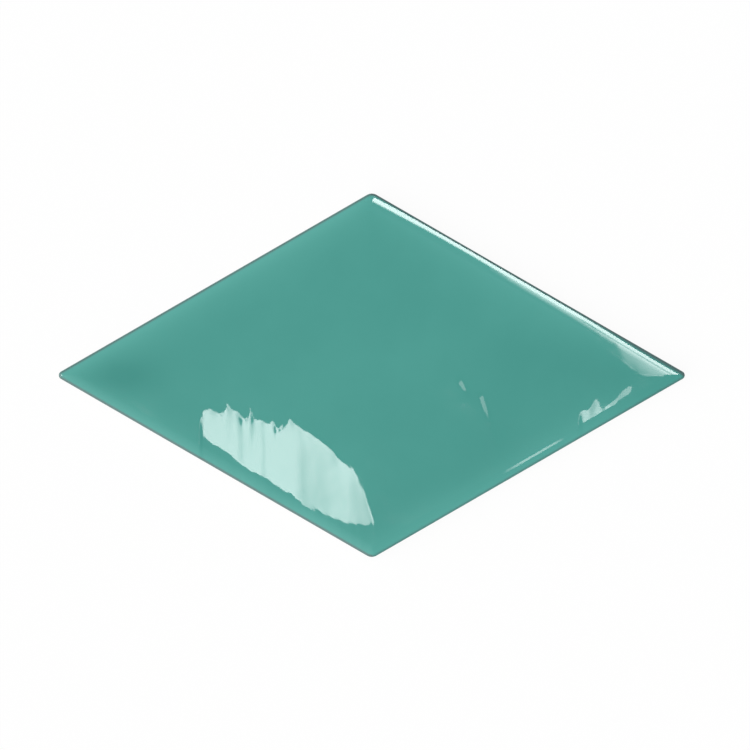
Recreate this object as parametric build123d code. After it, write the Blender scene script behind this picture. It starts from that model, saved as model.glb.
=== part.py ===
from build123d import *
from math import cos, radians, sin, sqrt, tan
import os

# A glazed ceramic wall tile: one rhombus, pressed, glazed and fired as a single piece.
# Its face is flat in the middle and falls away to a cushioned edge along all four sides, and
# the cushions of neighbouring sides meet in a mitre on each diagonal. The back is keyed for
# adhesive with a lattice of shallow rhombic recesses inside a plain border.
# Frame: +Z out of the glazed face, +X along the long diagonal, +Y along the short diagonal,
# with the origin at the centre of the back, on the plane that the tile is bedded on.

# Plan, in millimetres and degrees
SIDE_LENGTH = 153.9  # between the sharp corners that the rounding takes off
ACUTE_ANGLE = 60.0  # at the two ends of the long diagonal
ACUTE_CORNER_RADIUS = 1.8
OBTUSE_CORNER_RADIUS = 4.0

# Edge section
THICKNESS = 8.5  # from the back to the flat of the glazed face
CUSHION_WIDTH = 5.0  # how far in from a side the face begins to fall away
CUSHION_DROP = 0.7  # how far it has fallen on the line of the side
ARRIS_RADIUS = 0.8  # rounding between the cushion and the side
BACK_CHAMFER = 0.6

# Keyed back
KEY_MARGIN = 9.0  # plain border, from a side to the first recess
KEY_RIB_WIDTH = 4.0  # between neighbouring recesses
KEY_ROWS = 8  # recesses along each side
KEY_DEPTH = 0.6
KEY_DRAFT_ANGLE = 30.0  # lean of a recess's walls, which lets the pressing leave its die

# Directions and corners of the rhombus
half_angle = radians(ACUTE_ANGLE / 2)
long_half = SIDE_LENGTH * cos(half_angle)
short_half = SIDE_LENGTH * sin(half_angle)
side_gap = SIDE_LENGTH * sin(radians(ACUTE_ANGLE))  # square distance between opposite sides
along_side = Vector(-cos(half_angle), sin(half_angle))  # right-hand corner to top corner
inward = Vector(-sin(half_angle), -cos(half_angle))  # square to that side


def edge_section():
    """Section square to a side: X is the distance in from the side, Y the height above the back."""
    cushion_radius = (CUSHION_WIDTH**2 + CUSHION_DROP**2) / (2 * CUSHION_DROP)
    cushion_centre = Vector(CUSHION_WIDTH, THICKNESS - cushion_radius)
    # The arris touches the side plane and lies inside the cushion's circle, tangent to it.
    arris_rise = sqrt((cushion_radius - ARRIS_RADIUS) ** 2 - (CUSHION_WIDTH - ARRIS_RADIUS) ** 2)
    arris_centre = Vector(ARRIS_RADIUS, cushion_centre.Y + arris_rise)
    outward = (arris_centre - cushion_centre).normalized()
    arris_top = cushion_centre + outward * cushion_radius
    arris_middle = arris_centre + (outward + Vector(-1, 0)).normalized() * ARRIS_RADIUS
    cushion_middle = cushion_centre + (outward + Vector(0, 1)).normalized() * cushion_radius
    side_top = Vector(0, arris_centre.Y)
    face_start = Vector(CUSHION_WIDTH, THICKNESS)
    outline = [
        Line((BACK_CHAMFER, 0), (0, BACK_CHAMFER)),
        Line((0, BACK_CHAMFER), side_top),
        ThreePointArc(side_top, arris_middle, arris_top),
        ThreePointArc(arris_top, cushion_middle, face_start),
        Line(face_start, (side_gap, THICKNESS)),
        Line((side_gap, THICKNESS), (side_gap, 0)),
        Line((side_gap, 0), (BACK_CHAMFER, 0)),
    ]
    return make_face(outline)


def side_plane(point):
    """Plane across the upper right side at a point of it, with X inwards and Y up."""
    return Plane(origin=point, x_dir=inward, z_dir=along_side)


def quarter_tile(section, right_tangent, top_tangent):
    """The quarter of the tile at the upper right, without its two rounded corners."""
    run = top_tangent - right_tangent
    bar = extrude(side_plane(right_tangent) * section, amount=run.length, dir=along_side)
    quadrant = Box(SIDE_LENGTH, SIDE_LENGTH, THICKNESS, align=(Align.MIN, Align.MIN, Align.MIN))
    return bar & quadrant


def rounded_corner(section, tangent, radius, turn):
    """Corner turned from the edge section, about the upright axis one radius in from the side."""
    reach = Rectangle(radius, THICKNESS, align=(Align.MIN, Align.MIN))
    axis = Axis(tangent + inward * radius, (0, 0, 1))
    return revolve(side_plane(tangent) * (section & reach), axis=axis, revolution_arc=turn)


def key_recesses():
    """The lattice of recesses in the back, leaning in towards their ceilings."""
    slant = sin(radians(ACUTE_ANGLE))  # a square distance over the length along a slanting side
    free_width = side_gap - 2 * KEY_MARGIN - (KEY_ROWS - 1) * KEY_RIB_WIDTH
    recess_side = free_width / KEY_ROWS / slant
    pitch = recess_side + KEY_RIB_WIDTH / slant
    rising = Vector(cos(half_angle), sin(half_angle))
    falling = Vector(cos(half_angle), -sin(half_angle))
    shape = [
        (rising * a + falling * b) * (recess_side / 2)
        for a, b in ((-1, -1), (-1, 1), (1, 1), (1, -1))
    ]
    recess = extrude(
        make_face(Polyline(*shape, close=True)),
        amount=KEY_DEPTH,
        dir=(0, 0, 1),
        taper=KEY_DRAFT_ANGLE,
    )
    steps = [(index - (KEY_ROWS - 1) / 2) * pitch for index in range(KEY_ROWS)]
    return [Pos(*(rising * a + falling * b)) * recess for a in steps for b in steps]


def rhombus_tile():
    """The whole tile."""
    section = edge_section()
    right_corner = Vector(long_half, 0)
    top_corner = Vector(0, short_half)
    right_tangent = right_corner + along_side * (ACUTE_CORNER_RADIUS / tan(half_angle))
    top_tangent = top_corner - along_side * (OBTUSE_CORNER_RADIUS * tan(half_angle))

    upper_right = quarter_tile(section, right_tangent, top_tangent)
    lower_right = mirror(upper_right, about=Plane.XZ)
    right_end = rounded_corner(section, right_tangent, ACUTE_CORNER_RADIUS, ACUTE_ANGLE - 180)
    top_end = rounded_corner(section, top_tangent, OBTUSE_CORNER_RADIUS, ACUTE_ANGLE)
    right_half = [upper_right, lower_right, right_end]
    left_half = [mirror(piece, about=Plane.YZ) for piece in right_half]
    body = Part() + right_half + left_half + [top_end, mirror(top_end, about=Plane.XZ)]
    return body - key_recesses()


tile = rhombus_tile()
size = tile.bounding_box().size
print(f"tile {size.X:.2f} x {size.Y:.2f} x {size.Z:.2f} mm, {tile.volume / 1000:.1f} cm3")
os.makedirs("parts", exist_ok=True)
export_step(tile, "parts/rhombus_tile.step")
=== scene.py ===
"""A rhombus wall tile, pressed in one piece, glazed on its face and bare underneath.

The tile is one mesh: a cushioned face whose glaze keeps the swells and ripples it fired with, sides that the
glaze runs part of the way down, and a keyed back. Sizes are in millimetres until they reach the mesh.
"""
import logging
import math
import random
from dataclasses import dataclass, field
from enum import Enum

import bmesh
import bpy
import numpy as np
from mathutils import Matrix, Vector


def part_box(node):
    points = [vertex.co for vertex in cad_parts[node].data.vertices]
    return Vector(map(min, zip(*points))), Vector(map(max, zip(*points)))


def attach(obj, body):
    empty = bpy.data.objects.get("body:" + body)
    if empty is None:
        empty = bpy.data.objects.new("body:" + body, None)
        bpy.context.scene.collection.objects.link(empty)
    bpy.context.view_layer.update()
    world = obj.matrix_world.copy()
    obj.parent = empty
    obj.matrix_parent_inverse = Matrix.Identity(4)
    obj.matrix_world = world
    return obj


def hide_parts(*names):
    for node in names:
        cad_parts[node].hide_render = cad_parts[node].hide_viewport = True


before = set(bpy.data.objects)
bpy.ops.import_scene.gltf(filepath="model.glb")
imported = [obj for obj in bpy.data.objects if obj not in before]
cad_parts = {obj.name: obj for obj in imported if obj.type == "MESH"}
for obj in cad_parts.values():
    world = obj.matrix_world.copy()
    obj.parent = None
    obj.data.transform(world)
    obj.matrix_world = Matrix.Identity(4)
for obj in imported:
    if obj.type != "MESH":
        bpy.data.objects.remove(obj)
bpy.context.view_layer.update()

LOG = logging.getLogger("rhombus_tile")

MM = 0.001  # metres in a millimetre
TINY = 1e-9  # keeps a division from meeting zero
SAME = 1e-6  # millimetres within which two distances are the same
TILE_NODE = "rhombus_tile"
TILE_BODY = "root"
TILE_SLOT = "teal_glaze"

Colour = tuple[float, float, float, float]
Points = np.ndarray
DrawnEdge = tuple[tuple[float, float], ...]
Feed = bpy.types.NodeSocket | float | Colour


class Side(Enum):
    """The four sides of the tile, each by the signs of its outward direction."""

    UPPER_RIGHT = (1, 1)
    UPPER_LEFT = (-1, 1)
    LOWER_LEFT = (-1, -1)
    LOWER_RIGHT = (1, -1)


class Fired(Enum):
    """The two fired surfaces of the tile, by the material index of their faces."""

    GLAZE = 0
    BISCUIT = 1


class GlazeMask(Enum):
    """What the mesh tells the glaze's material at each vertex, by the name of the attribute."""

    RIM = "glaze_rim"
    POOL = "glaze_pool"
    # painted shade: where a dark line of shade is painted along the arris and on the sides
    BREAK = "glaze_break"


def ease(start: float, end: float, value: Points) -> Points:
    """Rises smoothly from 0 to 1.

    Args:
        start: the value up to which the result is 0.
        end: the value from which the result is 1.
        value: where to read the rise.

    Returns:
        The rise at each value.
    """
    share = np.clip((value - start) / (end - start), 0.0, 1.0)
    return share * share * (3.0 - 2.0 * share)


def follow(edge: DrawnEdge, x: Points, evened: float, readings: int = 25) -> Points:
    """Reads a drawn edge, evened out over a short stretch.

    Args:
        edge: the edge's points, from left to right.
        x: where to read it.
        evened: how far to either side it is evened out.
        readings: how many places the evening takes in.

    Returns:
        The edge's level at each X.
    """
    along, level = zip(*edge)
    shifts = np.linspace(-evened, evened, readings)
    return np.mean([np.interp(x + shift, along, level) for shift in shifts], axis=0)


@dataclass(frozen=True)
class Corner:
    """A rounded corner of the plan.

    Attributes:
        centre: the middle of its rounding.
        radius: its radius.
        sides: the two sides that it joins.
    """

    centre: Vector
    radius: float
    sides: tuple[Side, Side]


@dataclass(frozen=True)
class Rhombus:
    """The plan of the tile, with its long diagonal along X and its short one along Y.

    Attributes:
        half_length: from the centre to the sharp corner on the long diagonal.
        half_angle: between the long diagonal and a side.
        acute_radius: rounding of the corners on the long diagonal.
        obtuse_radius: rounding of the corners on the short diagonal.
    """

    half_length: float
    half_angle: float
    acute_radius: float
    obtuse_radius: float

    @classmethod
    def from_frame(
        cls, node: str, acute_angle: float = 60.0, acute_radius: float = 1.8, obtuse_radius: float = 4.0
    ) -> "Rhombus":
        """Reads the plan from a node of the frame.

        Args:
            node: the node's name.
            acute_angle: between the sides at the corners on the long diagonal, in degrees.
            acute_radius: rounding of the corners on the long diagonal.
            obtuse_radius: rounding of the corners on the short diagonal.

        Returns:
            The plan that has the node's length once its corners are rounded.
        """
        low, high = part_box(node)
        half_angle = math.radians(acute_angle / 2)
        tip = acute_radius / math.sin(half_angle) - acute_radius
        return cls((high.x - low.x) / MM / 2 + tip, half_angle, acute_radius, obtuse_radius)

    @property
    def gap(self) -> float:
        """The square distance between opposite sides."""
        return 2 * self.half_length * math.sin(self.half_angle)

    @property
    def half_width(self) -> float:
        """From the centre to the sharp corner on the short diagonal."""
        return self.half_length * math.tan(self.half_angle)

    def normal(self, side: Side) -> tuple[float, float]:
        """The outward direction of a side."""
        across, up = side.value
        return across * math.sin(self.half_angle), up * math.cos(self.half_angle)

    def inset(self, side: Side, x: Points, y: Points) -> Points:
        """How far points lie in from a side."""
        normal_x, normal_y = self.normal(side)
        return self.gap / 2 - normal_x * x - normal_y * y

    def place(self, from_upper_right: Points, from_upper_left: Points) -> tuple[Points, Points]:
        """Finds the points at given distances in from the two upper sides.

        Args:
            from_upper_right: distances from the upper right side.
            from_upper_left: distances from the upper left side.

        Returns:
            The points' X and Y.
        """
        right = self.gap / 2 - from_upper_right
        left = self.gap / 2 - from_upper_left
        x = (right - left) / (2 * math.sin(self.half_angle))
        y = (right + left) / (2 * math.cos(self.half_angle))
        return x, y

    def corners(self) -> list[Corner]:
        """Finds the four rounded corners.

        Returns:
            The corners, from the right one round to the lower one.
        """
        acute = self.half_length - self.acute_radius / math.sin(self.half_angle)
        obtuse = self.half_width - self.obtuse_radius / math.cos(self.half_angle)
        return [
            Corner(Vector((acute, 0)), self.acute_radius, (Side.UPPER_RIGHT, Side.LOWER_RIGHT)),
            Corner(Vector((0, obtuse)), self.obtuse_radius, (Side.UPPER_RIGHT, Side.UPPER_LEFT)),
            Corner(Vector((-acute, 0)), self.acute_radius, (Side.UPPER_LEFT, Side.LOWER_LEFT)),
            Corner(Vector((0, -obtuse)), self.obtuse_radius, (Side.LOWER_LEFT, Side.LOWER_RIGHT)),
        ]

    def in_corner(self, corner: Corner, x: Points, y: Points) -> Points:
        """Tells which points lie where a corner's rounding takes over from its sides.

        Args:
            corner: the corner.
            x: the points' X.
            y: the points' Y.

        Returns:
            True for each point in the wedge between the two ends of the rounding.
        """
        held = np.full(np.shape(x), True)
        for side in corner.sides:
            normal = Vector(self.normal(side))
            along = corner.centre - normal * corner.centre.dot(normal)
            held &= (x - corner.centre.x) * along.x + (y - corner.centre.y) * along.y > 0
        return held

    def round_corners(self, x: Points, y: Points) -> tuple[Points, Points]:
        """Draws the points of the sharp plan in so that lines along the sides turn its corners round.

        Args:
            x: the points' X on the sharp plan.
            y: the points' Y on the sharp plan.

        Returns:
            The points' X and Y on the rounded plan.
        """
        round_x, round_y = x.copy(), y.copy()
        for corner in self.corners():
            centre = corner.centre
            held = self.in_corner(corner, x, y)
            depth = np.minimum(*(self.inset(side, x, y) for side in corner.sides))
            reach = np.hypot(x - centre.x, y - centre.y)
            share = (corner.radius - depth) / np.maximum(reach, TINY)
            round_x = np.where(held, centre.x + (x - centre.x) * share, round_x)
            round_y = np.where(held, centre.y + (y - centre.y) * share, round_y)
        return round_x, round_y

    def outward(self, x: float, y: float) -> Vector:
        """The direction square to the rounded outline at a point on it.

        Args:
            x: the point's X.
            y: the point's Y.

        Returns:
            The direction, level and one long.
        """
        for corner in self.corners():
            if self.in_corner(corner, x, y):
                return Vector((x - corner.centre.x, y - corner.centre.y, 0)).normalized()
        side = min(Side, key=lambda each: self.inset(each, x, y))
        return Vector((*self.normal(side), 0))


@dataclass(frozen=True)
class EdgeSection:
    """How the face falls away to a side: a faint crease, a cushion and a rounded arris.

    Attributes:
        thickness: from the back to the flat of the face.
        cushion_width: from the side to the crease.
        cushion_drop: the fall of the cushion on the line of the side.
        crease_slope: the slope that the cushion starts with.
        arris_radius: rounding between the cushion and the side.
        arris_share: the share of its radius that the arris is taken to cut off the cushion.
        arris_steps: rows of vertices round the arris.
        cushion_steps: rows of vertices down the cushion.
    """

    thickness: float
    cushion_width: float = 5.0
    cushion_drop: float = 0.62
    crease_slope: float = 0.03
    arris_radius: float = 0.8
    arris_share: float = 0.8
    arris_steps: int = 9
    cushion_steps: int = 12

    @property
    def bend(self) -> float:
        """How fast the cushion steepens."""
        return (self.cushion_drop - self.crease_slope * self.cushion_width) / self.cushion_width**2

    @property
    def arris_lean(self) -> float:
        """The angle at which the arris takes over from the cushion."""
        near_arris = self.cushion_width - self.arris_radius * self.arris_share
        return math.atan(self.crease_slope + 2 * self.bend * near_arris)

    @property
    def arris_width(self) -> float:
        """From the side to where the arris takes over."""
        return self.arris_radius * (1 - math.sin(self.arris_lean))

    def cushion(self, inset: Points) -> Points:
        """The fall of the cushion below the flat of the face."""
        run = np.clip(self.cushion_width - inset, 0, self.cushion_width)
        return self.crease_slope * run + self.bend * run * run

    @property
    def arris_centre(self) -> float:
        """The height of the arris's centre above the back."""
        top = self.thickness - float(self.cushion(np.array(self.arris_width)))
        return top - self.arris_radius * math.cos(self.arris_lean)

    def height(self, inset: Points) -> Points:
        """The height of the plain face above the back.

        Args:
            inset: distances in from the nearest side.

        Returns:
            The height at each distance.
        """
        run = np.clip(self.arris_radius - inset, 0, self.arris_radius)
        arris = self.arris_centre + np.sqrt(self.arris_radius**2 - run * run)
        return np.where(inset < self.arris_width, arris, self.thickness - self.cushion(inset))

    def rows(self, gap: float, spacing: float) -> Points:
        """Distances from one side to the other at which the face needs a row of vertices.

        Args:
            gap: the distance between the two sides.
            spacing: the distance between rows on the flat of the face.

        Returns:
            The distances, from 0 to the gap.
        """
        leans = np.linspace(math.pi / 2, self.arris_lean, self.arris_steps, endpoint=False)
        arris = self.arris_radius * (1 - np.sin(leans))
        cushion = np.linspace(self.arris_width, self.cushion_width, self.cushion_steps)
        flat_count = round((gap - 2 * self.cushion_width) / spacing)
        flat = np.linspace(self.cushion_width, gap - self.cushion_width, flat_count + 1)[1:-1]
        edge = np.concatenate([arris, cushion])
        return np.concatenate([edge, flat, gap - edge[::-1]])


@dataclass(frozen=True)
class Swell:
    """A long low hump or hollow that the glaze kept when it set.

    Attributes:
        x: its middle along the long diagonal.
        y: its middle along the short diagonal.
        along: its half length.
        across: its half width.
        turn: the angle of its length from the long diagonal, in degrees.
        rise: its height, below zero for a hollow.
        tail: how many times longer the half that its length points to is.
        lee: how many times wider the half to the right of that direction is.
    """

    x: float
    y: float
    along: float
    across: float
    turn: float
    rise: float
    tail: float = 1.0
    lee: float = 1.0

    def height(self, x: Points, y: Points) -> Points:
        """The swell's height at each point.

        Args:
            x: the points' X.
            y: the points' Y.

        Returns:
            The height, which dies away from the swell's middle.
        """
        turn = math.radians(self.turn)
        along = ((x - self.x) * math.cos(turn) + (y - self.y) * math.sin(turn)) / self.along
        across = ((y - self.y) * math.cos(turn) - (x - self.x) * math.sin(turn)) / self.across
        along = np.where(along > 0, along / self.tail, along)
        across = np.where(across < 0, across / self.lee, across)
        return self.rise * np.exp(-along * along - across * across)


@dataclass(frozen=True)
class Ripples:
    """Small waves that cross in every direction, as on a glaze that set before it was level.

    Attributes:
        seed: the start of the waves' random directions.
        count: how many waves cross.
        shortest: the shortest wavelength.
        longest: the longest wavelength.
        slope: the usual slope of the waves together, in degrees.
    """

    seed: int
    count: int
    shortest: float
    longest: float
    slope: float

    def height(self, x: Points, y: Points) -> Points:
        """The waves' height at each point.

        Args:
            x: the points' X.
            y: the points' Y.

        Returns:
            The sum of the waves, which share the slope evenly.
        """
        draw = random.Random(self.seed)
        each_slope = math.radians(self.slope) * math.sqrt(2 / self.count)
        total = np.zeros_like(x)
        for index in range(self.count):
            wavelength = self.shortest * (self.longest / self.shortest) ** ((index + 0.5) / self.count)
            turn = draw.uniform(0, math.tau)
            phase = draw.uniform(0, math.tau)
            turns = math.tau / wavelength
            travel = turns * (x * math.cos(turn) + y * math.sin(turn)) + phase
            total += each_slope / turns * np.sin(travel)
        return total


@dataclass(frozen=True)
class Slump:
    """A bank where the glaze slid towards a lower side and set at a slant between two ragged edges.

    Attributes:
        side: the side that it slid towards.
        upper: its upper edge.
        lower: its lower edge.
        slope: how far it falls for each unit that it runs, along the bank.
        spring: the share of that slope with which the glaze rises again below the bank, along it.
        teeth: the small teeth of its edges.
        teeth_start: the length over which they grow at its left end.
        teeth_stop: the length over which they die away at its right end.
        teeth_power: how many times sooner they are lost down the bank than the drawn edge.
        lower_share: the share of them that the lower edge has.
        lower_row: the Y at which their waves are read for the lower edge.
        ragged_depth: how far down the bank the drawn upper edge is felt.
        fine: how far the edges are evened out.
        broad: how far the upper edge is evened out where it is no longer felt.
        blunt_end: half the length over which the bank starts at its left end.
        softness: how gently the bank starts and stops.
    """

    side: Side
    upper: DrawnEdge
    lower: DrawnEdge
    slope: DrawnEdge
    spring: DrawnEdge
    teeth: Ripples
    teeth_start: float = 3.0
    teeth_stop: float = 5.0
    teeth_power: int = 3
    lower_share: float = 0.6
    lower_row: float = 40.0
    ragged_depth: float = 5.0
    fine: float = 0.5
    broad: float = 6.0
    blunt_end: float = 0.8
    softness: float = 0.3

    def height(self, plan: Rhombus, x: Points, y: Points) -> Points:
        """The bank's height at each point.

        Args:
            plan: the tile's plan.
            x: the points' X.
            y: the points' Y.

        Returns:
            The height, below zero on the bank and beyond its lower edge.
        """
        start, stop = self.upper[0][0], self.upper[-1][0]
        within = ease(start, start + self.teeth_start, x) * (1 - ease(stop - self.teeth_stop, stop, x))
        upper_teeth = within * self.teeth.height(x, np.zeros_like(x))
        lower_teeth = within * self.teeth.height(x, np.full_like(x, self.lower_row))
        sharp = follow(self.upper, x, self.fine)
        wide = follow(self.upper, x, self.broad)
        low = follow(self.lower, x, 2 * self.fine) + self.lower_share * lower_teeth
        felt = np.exp(-np.maximum(sharp - y, 0) / self.ragged_depth)
        top = np.maximum(wide + (sharp - wide) * felt + upper_teeth * felt**self.teeth_power, low)
        run = np.logaddexp(0, (top - y) / self.softness)
        past = np.logaddexp(0, (low - y) / self.softness)
        run -= past * (1 + follow(self.spring, x, self.fine))
        slope = follow(self.slope, x, self.broad) * ease(start - self.blunt_end, start + self.blunt_end, x)
        return slope * plan.normal(self.side)[1] * self.softness * run


LOWER_LEFT_BANK = Slump(
    Side.LOWER_LEFT,
    upper=(
        (-71.7, -15.2), (-68.4, -14.2), (-64.0, -16.4), (-61.6, -12.0), (-58.5, -14.3), (-54.0, -18.2),
        (-52.6, -17.5), (-51.6, -13.6), (-50.9, -13.6), (-50.2, -17.9), (-45.4, -20.0), (-41.2, -20.0),
        (-40.3, -22.6), (-38.6, -21.4), (-35.0, -16.2), (-32.6, -20.3), (-28.9, -22.6), (-24.1, -25.6),
        (-18.2, -29.7), (-13.5, -36.2), (-9.3, -37.4), (-6.4, -41.5), (-3.7, -45.0), (-2.6, -50.9),
        (-1.2, -56.0), (1.2, -64.5),
    ),
    lower=(
        (-71.7, -24.4), (-69.0, -27.9), (-62.0, -31.5), (-57.2, -35.6), (-50.7, -40.4), (-46.0, -42.1),
        (-40.7, -46.2), (-33.6, -49.8), (-27.7, -54.6), (-22.9, -55.7), (-17.1, -59.5), (-11.1, -62.0),
        (-4.0, -62.6), (1.2, -62.6),
    ),
    slope=((-72.0, 0.018), (-45.0, 0.018), (0.0, 0.0075)),
    spring=((-20.0, 0.35), (-10.0, 1.6)),
    teeth=Ripples(seed=5, count=10, shortest=2.2, longest=6.0, slope=32.0),
)
LOWER_RIGHT_BANK = Slump(
    Side.LOWER_RIGHT,
    upper=(
        (87.7, -14.9), (91.4, -14.6), (94.4, -9.2), (95.8, -9.0), (98.6, -12.6), (99.8, -12.5),
        (103.5, -9.1), (105.6, -5.9), (108.8, -3.8), (110.1, -5.0),
    ),
    lower=(
        (87.7, -21.0), (93.0, -19.1), (96.7, -16.5), (99.8, -14.4), (101.9, -12.3), (104.6, -9.9),
        (108.8, -7.8), (110.1, -5.0),
    ),
    slope=((88.0, 0.016), (97.0, 0.0155), (104.0, 0.0125)),
    spring=((97.0, 0.6), (104.0, 0.3), (109.0, 0.0)),
    teeth=Ripples(seed=5, count=10, shortest=1.8, longest=5.0, slope=12.0),
    ragged_depth=7.0,
)


@dataclass(frozen=True)
class GlazeRelief:
    """The unevenness of the fired glaze over the pressed face.

    Attributes:
        slumps: the banks where the glaze slid.
        swells: the humps and hollows.
        ripples: the small waves.
        calm_rim: the width beside a side over which the waves die away.
        roll_width: how far in the face rolls down towards the upper right side.
        roll_drop: how far it rolls down where its share is 1.
        roll_share: the share of the roll along the long diagonal.
        roll_evened: how far that share is evened out.
    """

    slumps: tuple[Slump, ...] = (LOWER_LEFT_BANK, LOWER_RIGHT_BANK)
    swells: tuple[Swell, ...] = (
        Swell(x=35.4, y=-3.4, along=2.4, across=2.3, turn=-58.0, rise=0.097, tail=3.6, lee=3.0),
        Swell(x=44.5, y=-9.7, along=1.8, across=2.1, turn=-73.0, rise=0.09, tail=9.0, lee=3.0),
    )
    ripples: tuple[Ripples, ...] = (
        Ripples(seed=7, count=28, shortest=3.5, longest=9.0, slope=0.035),
        Ripples(seed=19, count=18, shortest=14.0, longest=40.0, slope=0.035),
    )
    calm_rim: tuple[float, float] = (0.5, 4.0)
    roll_width: float = 15.0
    roll_drop: float = 0.68
    roll_share: DrawnEdge = (
        (-8.0, 0.0), (-3.0, 0.65), (6.0, 0.5), (13.0, 0.33), (27.0, 0.1), (45.0, 0.0), (66.0, 0.1),
        (86.0, 0.15), (106.0, 0.5), (120.0, 0.75),
    )
    roll_evened: float = 5.0

    def height(self, plan: Rhombus, x: Points, y: Points, inset: Points) -> Points:
        """The glaze's height over the plain face.

        Args:
            plan: the tile's plan.
            x: the points' X.
            y: the points' Y.
            inset: the points' distances in from the nearest side.

        Returns:
            The height at each point.
        """
        depth = plan.inset(Side.UPPER_RIGHT, x, np.maximum(y, 0))
        roll = np.clip(1 - depth / self.roll_width, 0, 1) ** 2
        total = -self.roll_drop * roll * follow(self.roll_share, x, self.roll_evened)
        for slump in self.slumps:
            total += slump.height(plan, x, y)
        for swell in self.swells:
            total += swell.height(x, y)
        calm = ease(*self.calm_rim, inset)
        for waves in self.ripples:
            total += waves.height(x, y) * calm
        return total


@dataclass(frozen=True)
class KeyedBack:
    """The lattice of shallow recesses that gives the adhesive its grip.

    Attributes:
        margin: the plain border, from a side to the first recess.
        rib_width: between neighbouring recesses.
        rows: recesses along each side.
        depth: how deep a recess goes.
        draft: the lean of a recess's walls, in degrees.
    """

    margin: float = 9.0
    rib_width: float = 4.0
    rows: int = 8
    depth: float = 0.6
    draft: float = 30.0

    def lines(self, gap: float) -> Points:
        """Distances from one side to the other of the recesses' edges.

        Args:
            gap: the distance between the two sides.

        Returns:
            The near and far edge of each recess in turn.
        """
        recess = (gap - 2 * self.margin - (self.rows - 1) * self.rib_width) / self.rows
        starts = self.margin + np.arange(self.rows) * (recess + self.rib_width)
        return np.stack([starts, starts + recess], axis=1).ravel()


@dataclass(frozen=True)
class GlazeEdge:
    """Where the glaze stops on a side, in an uneven bead above bare biscuit.

    Attributes:
        level: the usual height of the edge above the back.
        wander: the waves that the edge follows along the side.
        bead_height: how far up the bead reaches.
        bead_bulge: how far the bead stands out.
        coat: how far the glaze stands out from the biscuit.
    """

    level: float = 5.2
    wander: Ripples = Ripples(seed=31, count=14, shortest=5.0, longest=38.0, slope=9.0)
    bead_height: float = 0.5
    bead_bulge: float = 0.05
    coat: float = 0.12

    def height(self, x: Points, y: Points) -> Points:
        """The height of the edge at points on the outline."""
        return self.level + self.wander.height(x, y)


def fired_mottle() -> bpy.types.ShaderNodeTree:
    """Builds the mottle that firing leaves, for every finish to place with its own values.

    Returns:
        A node group that gives a soft mask from the object's own coordinates.
    """
    name = "fired_mottle"
    if name in bpy.data.node_groups:
        return bpy.data.node_groups[name]
    group = bpy.data.node_groups.new(name, "ShaderNodeTree")
    for label, value in (("Scale", 40.0), ("Detail", 3.0), ("Low", 0.35), ("High", 0.65)):
        socket = group.interface.new_socket(label, in_out="INPUT", socket_type="NodeSocketFloat")
        socket.default_value = value
    group.interface.new_socket("Mask", in_out="OUTPUT", socket_type="NodeSocketFloat")
    wiring = Wiring(group)
    given = wiring.nodes.new("NodeGroupInput").outputs
    place = wiring.nodes.new("ShaderNodeTexCoord")
    noise = wiring.nodes.new("ShaderNodeTexNoise")
    wiring.feed(noise.inputs["Vector"], place.outputs["Object"])
    wiring.feed(noise.inputs["Scale"], given["Scale"])
    wiring.feed(noise.inputs["Detail"], given["Detail"])
    mask = wiring.spread(noise.outputs["Fac"], 0.0, 1.0, given["Low"], given["High"], eased=True)
    wiring.feed(wiring.nodes.new("NodeGroupOutput").inputs["Mask"], mask)
    return group


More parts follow.
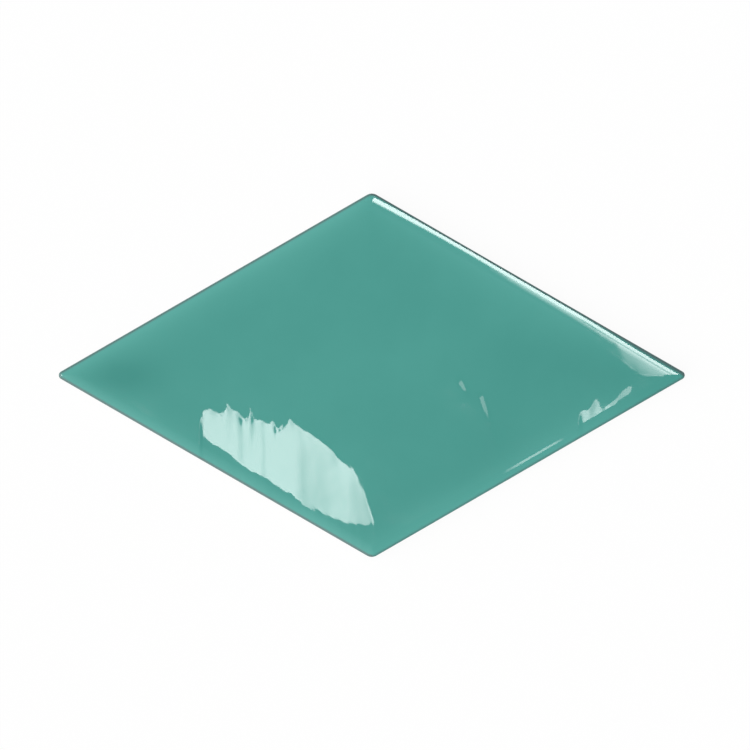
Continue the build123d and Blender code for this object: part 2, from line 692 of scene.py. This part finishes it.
@dataclass(frozen=True)
class Wiring:
    """The nodes of a material, a lamp or the sky, with short ways to add to them.

    Attributes:
        tree: the tree that holds the nodes.
    """

    tree: bpy.types.NodeTree

    @classmethod
    def of(cls, owner: bpy.types.Material | bpy.types.Light | bpy.types.World) -> "Wiring":
        """Turns an owner's nodes on and takes them."""
        owner.use_nodes = True
        return cls(owner.node_tree)

    @property
    def nodes(self) -> bpy.types.Nodes:
        """The nodes themselves."""
        return self.tree.nodes

    def feed(self, socket: bpy.types.NodeSocket, value: Feed) -> None:
        """Links a socket to another one, or sets it.

        Args:
            socket: the socket that is fed.
            value: the socket that feeds it, or a plain number or colour.
        """
        if isinstance(value, bpy.types.NodeSocket):
            self.tree.links.new(value, socket)
        else:
            socket.default_value = value

    def mask(self, mask: GlazeMask) -> bpy.types.NodeSocket:
        """Reads one of the mesh's masks.

        Args:
            mask: the mask.

        Returns:
            The socket that gives it.
        """
        node = self.nodes.new("ShaderNodeAttribute")
        node.attribute_name = mask.value
        return node.outputs["Fac"]

    def mottle(self, **values: float) -> bpy.types.NodeSocket:
        """Places the fired mottle.

        Args:
            **values: the group's inputs, by name.

        Returns:
            The socket that gives its mask.
        """
        node = self.nodes.new("ShaderNodeGroup")
        node.node_tree = fired_mottle()
        for label, value in values.items():
            node.inputs[label].default_value = value
        return node.outputs["Mask"]

    def calculate(self, operation: str, *values: Feed, clamped: bool = False) -> bpy.types.NodeSocket:
        """Works out one value from others.

        Args:
            operation: the name of the sum.
            *values: what it takes, in its order.
            clamped: whether the result is kept between 0 and 1.

        Returns:
            The socket that gives the result.
        """
        node = self.nodes.new("ShaderNodeMath")
        node.operation = operation
        node.use_clamp = clamped
        for socket, value in zip(node.inputs, values):
            self.feed(socket, value)
        return node.outputs["Value"]

    def blend(self, share: Feed, start: Feed, end: Feed) -> bpy.types.NodeSocket:
        """Blends one colour into another.

        Args:
            share: how far the first gives way to the second.
            start: the first colour.
            end: the second colour.

        Returns:
            The socket that gives the blend.
        """
        node = self.nodes.new("ShaderNodeMix")
        node.data_type = "RGBA"
        for label, value in (("Factor", share), ("A", start), ("B", end)):
            self.feed(node.inputs[label], value)
        return node.outputs["Result"]

    def spread(
        self, value: Feed, low: Feed, high: Feed, start: Feed = 0.0, end: Feed = 1.0, eased: bool = False
    ) -> bpy.types.NodeSocket:
        """Spreads a value over another range.

        Args:
            value: the value.
            low: the result up to the start.
            high: the result from the end.
            start: the value at which the range starts.
            end: the value at which it ends.
            eased: whether the result starts and stops gently.

        Returns:
            The socket that gives the result.
        """
        node = self.nodes.new("ShaderNodeMapRange")
        node.interpolation_type = "SMOOTHSTEP" if eased else "LINEAR"
        labels = ("Value", "From Min", "From Max", "To Min", "To Max")
        for label, each in zip(labels, (value, start, end, low, high)):
            self.feed(node.inputs[label], each)
        return node.outputs["Result"]


@dataclass(frozen=True)
class GlazeFinish:
    """A glossy teal glaze, paler where it ran thin towards the rim and deeper where it pooled, with shade
    painted dark along the arris.

    Attributes:
        full: its colour on the flat of the face.
        pooled: its colour where it lies deepest.
        thin: its colour at the rim.
        painted_shade: the dark colour of the shade painted along the arris.
        refraction: its refractive index.
        clouding: how far it deepens in faint clouds.
        gloss: its least and its greatest roughness.
    """

    full: Colour = (0.0528, 0.312, 0.267, 1.0)
    pooled: Colour = (0.032, 0.258, 0.219, 1.0)
    thin: Colour = (0.093, 0.402, 0.35, 1.0)
    # painted shade: the dark colour painted along the arris where shade falls
    painted_shade: Colour = (0.085, 0.172, 0.165, 1.0)
    refraction: float = 1.52
    clouding: float = 0.35
    gloss: tuple[float, float] = (0.022, 0.04)

    def material(self) -> bpy.types.Material:
        """Builds the glaze's material.

        Returns:
            The material, which reads the tile's rim, pool and painted shade masks.
        """
        material = bpy.data.materials.new(TILE_SLOT)
        wiring = Wiring.of(material)
        shader = wiring.nodes["Principled BSDF"]
        shader.inputs["IOR"].default_value = self.refraction

        clouds = wiring.mottle(Scale=28.0, Detail=3.0, Low=0.25, High=0.75)
        pool = wiring.mask(GlazeMask.POOL)
        depth = wiring.calculate("MULTIPLY_ADD", clouds, self.clouding, pool, clamped=True)
        colour = wiring.blend(depth, self.full, self.pooled)
        colour = wiring.blend(wiring.mask(GlazeMask.RIM), colour, self.thin)
        # Painted shade: darkens the glaze along the arris and on the sides.
        colour = wiring.blend(wiring.mask(GlazeMask.BREAK), colour, self.painted_shade)
        wiring.feed(shader.inputs["Base Color"], colour)

        haze = wiring.mottle(Scale=90.0, Detail=4.0, Low=0.3, High=0.8)
        wiring.feed(shader.inputs["Roughness"], wiring.spread(haze, *self.gloss))
        return material


@dataclass(frozen=True)
class BiscuitFinish:
    """The bare fired body: pale, dry and slightly sandy.

    Attributes:
        clay: its usual colour.
        scorched: its colour where the kiln browned it.
        specular: how strongly it mirrors.
        browning: how far the kiln browned it in clouds.
        speckling: how far the kiln browned its grains.
        dryness: its least and its greatest roughness.
        sand_strength: how strongly its sand stands out.
        sand_height: how high its sand stands out, in metres.
    """

    clay: Colour = (0.66, 0.58, 0.47, 1.0)
    scorched: Colour = (0.52, 0.42, 0.31, 1.0)
    specular: float = 0.25
    browning: float = 0.45
    speckling: float = 0.5
    dryness: tuple[float, float] = (0.72, 0.92)
    sand_strength: float = 0.6
    sand_height: float = 0.00012

    def material(self) -> bpy.types.Material:
        """Builds the biscuit's material.

        Returns:
            The material.
        """
        material = bpy.data.materials.new("bare_biscuit")
        wiring = Wiring.of(material)
        shader = wiring.nodes["Principled BSDF"]
        shader.inputs["Specular IOR Level"].default_value = self.specular

        clouds = wiring.mottle(Scale=35.0, Detail=5.0, Low=0.35, High=0.75)
        grains = wiring.mottle(Scale=1600.0, Detail=2.0, Low=0.55, High=0.75)
        specks = wiring.calculate("MULTIPLY", grains, self.speckling)
        browned = wiring.calculate("MULTIPLY_ADD", clouds, self.browning, specks, clamped=True)
        wiring.feed(shader.inputs["Base Color"], wiring.blend(browned, self.clay, self.scorched))
        wiring.feed(shader.inputs["Roughness"], wiring.spread(grains, *self.dryness))

        sand = wiring.nodes.new("ShaderNodeBump")
        sand.inputs["Strength"].default_value = self.sand_strength
        sand.inputs["Distance"].default_value = self.sand_height
        wiring.feed(sand.inputs["Height"], wiring.mottle(Scale=1100.0, Detail=4.0, Low=0.2, High=0.8))
        wiring.feed(shader.inputs["Normal"], sand.outputs["Normal"])
        return material


@dataclass(frozen=True)
class RimLook:
    """How the glaze looks beside one side, and how much shade is painted there.

    Attributes:
        thin: how far it turns paler towards the side, where 1 is fully.
        painted_shade: how far painted shade darkens it along the arris, where 1 is fully.
    """

    thin: float
    # how far shade is painted along the arris beside this side
    painted_shade: float


# The second value of each look is painted shade along the arris, strongest on the upper right and weakest on
# the lower right.
RIM_LOOKS = {
    Side.UPPER_RIGHT: RimLook(thin=1.0, painted_shade=1.0),
    Side.UPPER_LEFT: RimLook(thin=0.9, painted_shade=0.85),
    Side.LOWER_LEFT: RimLook(thin=0.6, painted_shade=1.0),
    Side.LOWER_RIGHT: RimLook(thin=0.95, painted_shade=0.5),
}


@dataclass
class GlazedTile:
    """The whole tile: its glazed face and sides, and its bare keyed back.

    Attributes:
        plan: its plan.
        section: how its face falls away to the sides.
        relief: the unevenness of its glaze.
        edge: where its glaze stops on the sides.
        back: its keyed back.
        back_chamfer: the chamfer round its back.
        row_spacing: between rows of vertices on the flat of its face.
        thin_reach: how far in from a side the glaze is felt to be thin.
        thick_corner: how much less thin it is at the right corner, where 1 is not at all.
        thick_corner_run: where along the long diagonal it starts and is fully so.
        thick_pool: how much less thin it is where it pooled.
        painted_shade_width: how far in from a side shade is painted along the arris.
        painted_shade_fade: the shares of that width between which the painted shade fades.
        corner_painted_shade: how much wider the painted shade is at the right corner.
        corner_painted_shade_run: where along the long diagonal it starts and is fully so.
        side_painted_shade: how far shade is painted on the glaze of the sides.
        pools: where the glaze pooled.
        sharp_angle: the angle between two faces from which their edge is sharp, in degrees.
    """

    plan: Rhombus
    section: EdgeSection
    relief: GlazeRelief = field(default_factory=GlazeRelief)
    edge: GlazeEdge = field(default_factory=GlazeEdge)
    back: KeyedBack = field(default_factory=KeyedBack)
    back_chamfer: float = 0.6
    row_spacing: float = 0.56
    thin_reach: float = 6.0
    thick_corner: float = 0.6
    thick_corner_run: tuple[float, float] = (80.0, 125.0)
    thick_pool: float = 0.5
    # Painted shade: a dark line painted along the arris, wider at the right corner and carried onto the
    # sides.
    painted_shade_width: float = 1.25
    painted_shade_fade: tuple[float, float] = (0.5, 1.0)
    corner_painted_shade: float = 0.6
    corner_painted_shade_run: tuple[float, float] = (90.0, 122.0)
    side_painted_shade: float = 0.3
    pools: tuple[Swell, ...] = (
        Swell(x=-105.5, y=0.0, along=15.0, across=8.0, turn=0.0, rise=0.85),
        Swell(x=88.0, y=6.0, along=34.0, across=16.0, turn=-10.0, rise=0.4),
        Swell(x=52.0, y=-36.0, along=70.0, across=15.0, turn=30.0, rise=0.32),
    )
    sharp_angle: float = 40.0

    def build(self) -> bpy.types.Object:
        """Builds the tile's mesh.

        Returns:
            The tile's object, at the origin.
        """
        work = bmesh.new()
        self.press_face(work)
        foot = self.draw_sides(work)
        self.key_back(work, foot)
        bmesh.ops.recalc_face_normals(work, faces=work.faces[:])
        self.smooth(work)
        bmesh.ops.scale(work, vec=(MM, MM, MM), verts=work.verts[:])
        mesh = bpy.data.meshes.new("glazed_tile")
        work.to_mesh(mesh)
        work.free()
        tile = bpy.data.objects.new("glazed_tile", mesh)
        bpy.context.scene.collection.objects.link(tile)
        return tile

    def smooth(self, work: bmesh.types.BMesh) -> None:
        """Shades the mesh smooth across all but its sharp edges.

        Args:
            work: the mesh in work.
        """
        for face in work.faces:
            face.smooth = True
        for edge in work.edges:
            if edge.calc_face_angle(0.0) > math.radians(self.sharp_angle):
                edge.smooth = False

    def press_face(self, work: bmesh.types.BMesh) -> None:
        """Makes the glazed face from a grid whose lines run along the sides.

        Args:
            work: the mesh in work.
        """
        rows = self.section.rows(self.plan.gap, self.row_spacing)
        count = len(rows) - 1
        bmesh.ops.create_grid(work, x_segments=count, y_segments=count, size=1.0)
        steps = np.array([[vert.co.x, vert.co.y] for vert in work.verts])
        steps = np.rint((steps + 1) / 2 * count).astype(int)
        x, y = self.plan.place(rows[steps[:, 0]], rows[steps[:, 1]])
        insets = {side: np.maximum(self.plan.inset(side, x, y), 0) for side in Side}
        inset = np.minimum.reduce(list(insets.values()))
        x, y = self.plan.round_corners(x, y)
        z = self.section.height(inset) + self.relief.height(self.plan, x, y, inset)
        for mask, values in self.masks(x, y, insets).items():
            layer = work.verts.layers.float.new(mask.value)
            for vert, value in zip(work.verts, values):
                vert[layer] = value
        for vert, *place in zip(work.verts, x, y, z):
            vert.co = place
        for face in work.faces:
            face.material_index = Fired.GLAZE.value
        on_crease = np.abs(inset - self.section.cushion_width) < SAME
        for edge in work.edges:
            edge.smooth = not all(on_crease[vert.index] for vert in edge.verts)

    def masks(self, x: Points, y: Points, insets: dict[Side, Points]) -> dict[GlazeMask, Points]:
        """Finds where the glaze lies thin and pools, and where shade is painted along the arris.

        Args:
            x: the points' X.
            y: the points' Y.
            insets: the points' distances in from each side.

        Returns:
            The values of each mask.
        """
        pool = np.clip(sum(each.height(x, y) for each in self.pools), 0, 1)
        thin = np.zeros_like(x)
        # painted shade along the arris, by side
        painted_shade = np.zeros_like(x)
        for side, look in RIM_LOOKS.items():
            width = self.painted_shade_width
            if side is Side.UPPER_RIGHT:
                width = width + self.corner_painted_shade * ease(*self.corner_painted_shade_run, x)
            thin = np.maximum(thin, look.thin * np.exp(-insets[side] / self.thin_reach))
            faded = ease(*self.painted_shade_fade, insets[side] / width)
            painted_shade = np.maximum(painted_shade, look.painted_shade * (1 - faded))
        thick = self.thick_corner * ease(*self.thick_corner_run, x)
        thin *= (1 - thick) * (1 - self.thick_pool * pool)
        return {GlazeMask.RIM: thin, GlazeMask.POOL: pool, GlazeMask.BREAK: painted_shade}

    def draw_sides(self, work: bmesh.types.BMesh) -> list[bmesh.types.BMEdge]:
        """Draws the rim of the face down to the back, with the glaze's bead on the way.

        Args:
            work: the mesh in work.

        Returns:
            The edges round the foot of the sides.
        """
        edge = self.edge
        painted_shade_layer = work.verts.layers.float[GlazeMask.BREAK.value]
        foot = [each for each in work.edges if each.is_boundary]
        runs = (
            (lambda stop: stop + edge.bead_height, 0.0, Fired.GLAZE),
            (lambda stop: stop + edge.bead_height / 2, -edge.bead_bulge, Fired.GLAZE),
            (lambda stop: stop + edge.bead_height / 6, -edge.bead_bulge / 2, Fired.GLAZE),
            (lambda stop: stop, edge.coat, Fired.GLAZE),
            (lambda stop: self.back_chamfer, edge.coat, Fired.BISCUIT),
            (lambda stop: 0.0, edge.coat + self.back_chamfer, Fired.BISCUIT),
        )
        gone = 0.0
        for height, inset, fired in runs:
            made = bmesh.ops.extrude_edge_only(work, edges=foot)["geom"]
            foot = [each for each in made if isinstance(each, bmesh.types.BMEdge) and each.is_boundary]
            for face in (each for each in made if isinstance(each, bmesh.types.BMFace)):
                face.material_index = fired.value
            for vert in (each for each in made if isinstance(each, bmesh.types.BMVert)):
                rim = vert.co + self.plan.outward(vert.co.x, vert.co.y) * gone
                stop = float(edge.height(np.array(rim.x), np.array(rim.y)))
                vert.co = rim - self.plan.outward(rim.x, rim.y) * inset
                vert.co.z = height(stop)
                # Painted shade: the sides take part of the arris's dark colour.
                vert[painted_shade_layer] = self.side_painted_shade
            gone = inset
        return foot

    def key_back(self, work: bmesh.types.BMesh, foot: list[bmesh.types.BMEdge]) -> None:
        """Closes the back with its lattice of recesses.

        Args:
            work: the mesh in work.
            foot: the edges round the foot of the sides.
        """
        lines = self.back.lines(self.plan.gap)
        count = len(lines) - 1
        verts = bmesh.ops.create_grid(work, x_segments=count, y_segments=count, size=1.0)["verts"]
        cells = {}
        for vert in verts:
            step = tuple(round((value + 1) / 2 * count) for value in vert.co[:2])
            vert.co = (*self.plan.place(lines[step[0]], lines[step[1]]), 0.0)
            cells[vert] = step
        faces = list({face for vert in verts for face in vert.link_faces})
        for face in faces:
            face.material_index = Fired.BISCUIT.value
            if face.normal.z > 0:
                face.normal_flip()
        rim = [each for each in {e for vert in verts for e in vert.link_edges} if each.is_boundary]
        border = bmesh.ops.triangle_fill(work, use_beauty=True, edges=foot + rim, normal=(0, 0, -1))
        for face in border["geom"]:
            if isinstance(face, bmesh.types.BMFace):
                face.material_index = Fired.BISCUIT.value
        recesses = [
            face for face in faces
            if all(min(cells[vert][axis] for vert in face.verts) % 2 == 0 for axis in (0, 1))
        ]
        bmesh.ops.inset_individual(
            work,
            faces=recesses,
            thickness=self.back.depth * math.tan(math.radians(self.back.draft)),
            depth=-self.back.depth,
            use_even_offset=True,
        )

    def dress(self, tile: bpy.types.Object) -> None:
        """Gives the tile its finishes and puts it in the frame.

        Args:
            tile: the tile's object.
        """
        finishes = {Fired.GLAZE: GlazeFinish(), Fired.BISCUIT: BiscuitFinish()}
        for fired in Fired:
            tile.data.materials.append(finishes[fired].material())
        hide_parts(TILE_NODE)
        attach(tile, TILE_BODY)


class Across(Enum):
    """The two directions across a lamp panel, by the axis of its own coordinates."""

    DEPTH = "X"
    SPAN = "Y"


@dataclass(frozen=True)
class Grade:
    """A change of brightness across a lamp panel.

    Attributes:
        across: its direction.
        start: the share of the panel at which it starts.
        end: the share of the panel at which it is complete.
        low: the brightness up to its start.
        high: the brightness from its end.
    """

    across: Across
    start: float = 0.0
    end: float = 1.0
    low: float = 0.0
    high: float = 1.0


@dataclass(frozen=True)
class Softbox:
    """A lamp panel that faces straight down.

    Attributes:
        name: its name.
        height: above the floor, in metres.
        bearing: its direction from the tile, in degrees from the long diagonal.
        near: the angle off the vertical of its near edge, in degrees.
        far: the angle off the vertical of its far edge, in degrees.
        aside: how far its middle is moved across its bearing, in metres.
        half_span: half its length across its bearing, in metres.
        brightness: its radiance, where 1 is white.
        grades: the changes of brightness across it.
    """

    name: str
    height: float
    bearing: float
    near: float
    far: float
    aside: float
    half_span: float
    brightness: float
    grades: tuple[Grade, ...] = ()

    def build(self) -> bpy.types.Object:
        """Builds the lamp.

        Returns:
            The lamp's object.
        """
        near = self.height * math.tan(math.radians(self.near))
        far = self.height * math.tan(math.radians(self.far))
        bearing = math.radians(self.bearing)
        lamp = bpy.data.lights.new(self.name, "AREA")
        lamp.shape = "RECTANGLE"
        lamp.size = far - near
        lamp.size_y = 2 * self.half_span
        lamp.energy = self.brightness * math.pi * lamp.size * lamp.size_y
        if self.grades:
            self.grade(lamp)
        panel = bpy.data.objects.new(self.name, lamp)
        reach = (near + far) / 2
        panel.location = (
            reach * math.cos(bearing) - self.aside * math.sin(bearing),
            reach * math.sin(bearing) + self.aside * math.cos(bearing),
            self.height,
        )
        panel.rotation_euler = (0, 0, bearing)
        bpy.context.scene.collection.objects.link(panel)
        return panel

    def grade(self, lamp: bpy.types.Light) -> None:
        """Grades the lamp's brightness across its panel.

        Args:
            lamp: the lamp.
        """
        wiring = Wiring.of(lamp)
        place = wiring.nodes.new("ShaderNodeNewGeometry")
        axes = wiring.nodes.new("ShaderNodeSeparateXYZ")
        wiring.feed(axes.inputs["Vector"], place.outputs["Parametric"])
        graded: Feed = 1.0
        for grade in self.grades:
            share = axes.outputs[grade.across.value]
            ramp = wiring.spread(share, grade.low, grade.high, grade.start, grade.end, eased=True)
            graded = wiring.calculate("MULTIPLY", graded, ramp)
        wiring.feed(wiring.nodes["Emission"].inputs["Strength"], graded)


@dataclass(frozen=True)
class Studio:
    """A pale floor, a soft sky that is brightest on one hand, a few panels and the camera above.

    Attributes:
        softboxes: the panels.
        floor_size: the length of the floor's sides, in metres.
        floor_drop: how far the floor lies below the tile's back, in metres.
        floor_paper: the floor's colour where the light falls on it.
        floor_white: the share of plain white in how the floor looks.
        camera_height: above the floor, in metres.
        camera_aside: how far the camera is off the tile's middle, in metres.
        picture_width: the width that the picture takes in, in metres.
        sensor_width: the width of the camera's sensor, in millimetres.
        sight: how far the camera sees, in metres.
        sky_colour: the sky's colour.
        sky_bearing: where the sky is brightest, in degrees from the long diagonal.
        sky_off_vertical: how far that is off the vertical, in degrees.
        sky_brightest: how much brighter the sky is there.
        sky_focus: how fast it dims away from there.
        sky_least: how bright it is at its dimmest.
    """

    softboxes: tuple[Softbox, ...] = (
        Softbox(
            "lower_left_panel", height=8.0, bearing=240, near=1.5, far=3.45,
            aside=0.015, half_span=0.235, brightness=9.5,
            grades=(Grade(Across.SPAN, start=0.15, end=0.45, low=0.68, high=1.1),),
        ),
        Softbox(
            "upper_right_panel", height=3.0, bearing=60, near=15.5, far=25.1,
            aside=0.03, half_span=0.19, brightness=15.0,
            grades=(Grade(Across.DEPTH, end=0.4), Grade(Across.SPAN, end=0.12)),
        ),
        Softbox(
            "upper_right_end", height=3.1, bearing=60, near=17.5, far=25.1,
            aside=-0.1925, half_span=0.0775, brightness=14.0,
            grades=(Grade(Across.DEPTH, end=0.4), Grade(Across.SPAN, start=0.7, low=1.0, high=0.0)),
        ),
        Softbox(
            "upper_right_glow", height=2.9, bearing=60, near=9.5, far=17.0,
            aside=-0.135, half_span=0.097, brightness=5.5,
            grades=(Grade(Across.DEPTH), Grade(Across.SPAN, start=0.85, low=1.0, high=0.0)),
        ),
        Softbox(
            "right_corner_panel", height=2.8, bearing=60, near=3.9, far=18.5,
            aside=-0.204, half_span=0.054, brightness=6.5,
            grades=(
                Grade(Across.DEPTH, end=0.25, low=0.4),
                Grade(Across.SPAN, start=0.88, low=1.0, high=0.0),
            ),
        ),
        Softbox(
            "lower_right_strip", height=0.8, bearing=300, near=13.3, far=16.95,
            aside=0.0495, half_span=0.0185, brightness=5.8,
            grades=(Grade(Across.SPAN, end=0.3), Grade(Across.SPAN, start=0.7, low=1.0, high=0.0)),
        ),
        Softbox(
            "lower_right_panel", height=7.9, bearing=300, near=1.9, far=4.05,
            aside=0.165, half_span=0.225, brightness=8.5,
            grades=(Grade(Across.SPAN, start=0.35, end=0.9, low=0.95, high=0.5),),
        ),
        Softbox(
            "right_fleck_panel", height=8.0, bearing=14, near=3.6, far=5.1,
            aside=0.025, half_span=0.115, brightness=3.0,
        ),
        Softbox(
            "left_tip_panel", height=3.0, bearing=180, near=19.0, far=24.5,
            aside=0.0, half_span=0.35, brightness=10.0,
        ),
    )
    floor_size: float = 12.0
    floor_drop: float = 0.0002
    floor_paper: Colour = (0.9, 0.9, 0.9, 1.0)
    floor_white: float = 0.94
    camera_height: float = 5.0
    camera_aside: tuple[float, float] = (0.00135, 0.0001)
    picture_width: float = 0.3155
    sensor_width: float = 36.0
    sight: float = 100.0
    sky_colour: Colour = (1.0, 1.0, 1.0, 1.0)
    sky_bearing: float = 200.0
    sky_off_vertical: float = 55.0
    sky_brightest: float = 2.5
    sky_focus: float = 2.8
    sky_least: float = 0.22

    def build(self) -> None:
        """Builds the studio."""
        self.lay_floor()
        self.light_sky()
        for softbox in self.softboxes:
            softbox.build()
        self.set_camera()
        bpy.context.scene.view_settings.view_transform = "Standard"

    def lay_floor(self) -> None:
        """Lays the floor, which shows white and keeps a trace of the tile's shadow."""
        work = bmesh.new()
        bmesh.ops.create_grid(work, x_segments=1, y_segments=1, size=self.floor_size / 2)
        mesh = bpy.data.meshes.new("studio_floor")
        work.to_mesh(mesh)
        work.free()
        floor = bpy.data.objects.new("studio_floor", mesh)
        floor.location.z = -self.floor_drop
        bpy.context.scene.collection.objects.link(floor)
        material = bpy.data.materials.new("floor_white")
        wiring = Wiring.of(material)
        nodes = wiring.nodes
        nodes.remove(nodes["Principled BSDF"])
        paper = nodes.new("ShaderNodeBsdfDiffuse")
        paper.inputs["Color"].default_value = self.floor_paper
        glow = nodes.new("ShaderNodeEmission")
        rays = nodes.new("ShaderNodeLightPath").outputs
        seen = wiring.calculate("MAXIMUM", rays["Is Camera Ray"], rays["Is Glossy Ray"])
        seen = wiring.calculate("MAXIMUM", seen, rays["Is Transmission Ray"])
        mix = nodes.new("ShaderNodeMixShader")
        wiring.feed(mix.inputs["Fac"], wiring.calculate("MULTIPLY", seen, self.floor_white))
        wiring.feed(mix.inputs[1], paper.outputs["BSDF"])
        wiring.feed(mix.inputs[2], glow.outputs["Emission"])
        wiring.feed(nodes["Material Output"].inputs["Surface"], mix.outputs["Shader"])
        mesh.materials.append(material)

    def light_sky(self) -> None:
        """Lights the sky, brightest towards one hand and dim opposite."""
        world = bpy.data.worlds.new("studio_sky")
        bpy.context.scene.world = world
        wiring = Wiring.of(world)
        off = math.radians(self.sky_off_vertical)
        bearing = math.radians(self.sky_bearing)
        place = wiring.nodes.new("ShaderNodeTexCoord")
        facing = wiring.nodes.new("ShaderNodeVectorMath")
        facing.operation = "DOT_PRODUCT"
        facing.inputs[1].default_value = (
            math.sin(off) * math.cos(bearing),
            math.sin(off) * math.sin(bearing),
            math.cos(off),
        )
        wiring.feed(facing.inputs[0], place.outputs["Generated"])
        ahead = wiring.calculate("MAXIMUM", facing.outputs["Value"], 0.0)
        focus = wiring.calculate("POWER", ahead, self.sky_focus)
        level = wiring.calculate("MULTIPLY_ADD", focus, self.sky_brightest, self.sky_least)
        sky = wiring.nodes["Background"]
        sky.inputs["Color"].default_value = self.sky_colour
        wiring.feed(sky.inputs["Strength"], level)

    def set_camera(self) -> None:
        """Sets the camera straight above the tile, with a long lens."""
        data = bpy.data.cameras.new("camera_above")
        data.sensor_width = self.sensor_width
        data.lens = self.sensor_width * self.camera_height / self.picture_width
        data.clip_end = self.sight
        camera = bpy.data.objects.new("camera_above", data)
        camera.location = (*self.camera_aside, self.camera_height)
        bpy.context.scene.collection.objects.link(camera)
        bpy.context.scene.camera = camera


def main() -> None:
    """Builds and dresses the tile, then sets it in the studio."""
    logging.basicConfig(level=logging.INFO, format="%(name)s: %(message)s")
    low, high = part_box(TILE_NODE)
    plan = Rhombus.from_frame(TILE_NODE)
    tile = GlazedTile(plan, EdgeSection(thickness=(high.z - low.z) / MM))
    piece = tile.build()
    tile.dress(piece)
    LOG.info("%s: %d faces", piece.name, len(piece.data.polygons))
    Studio().build()


if __name__ == "__main__":
    main()
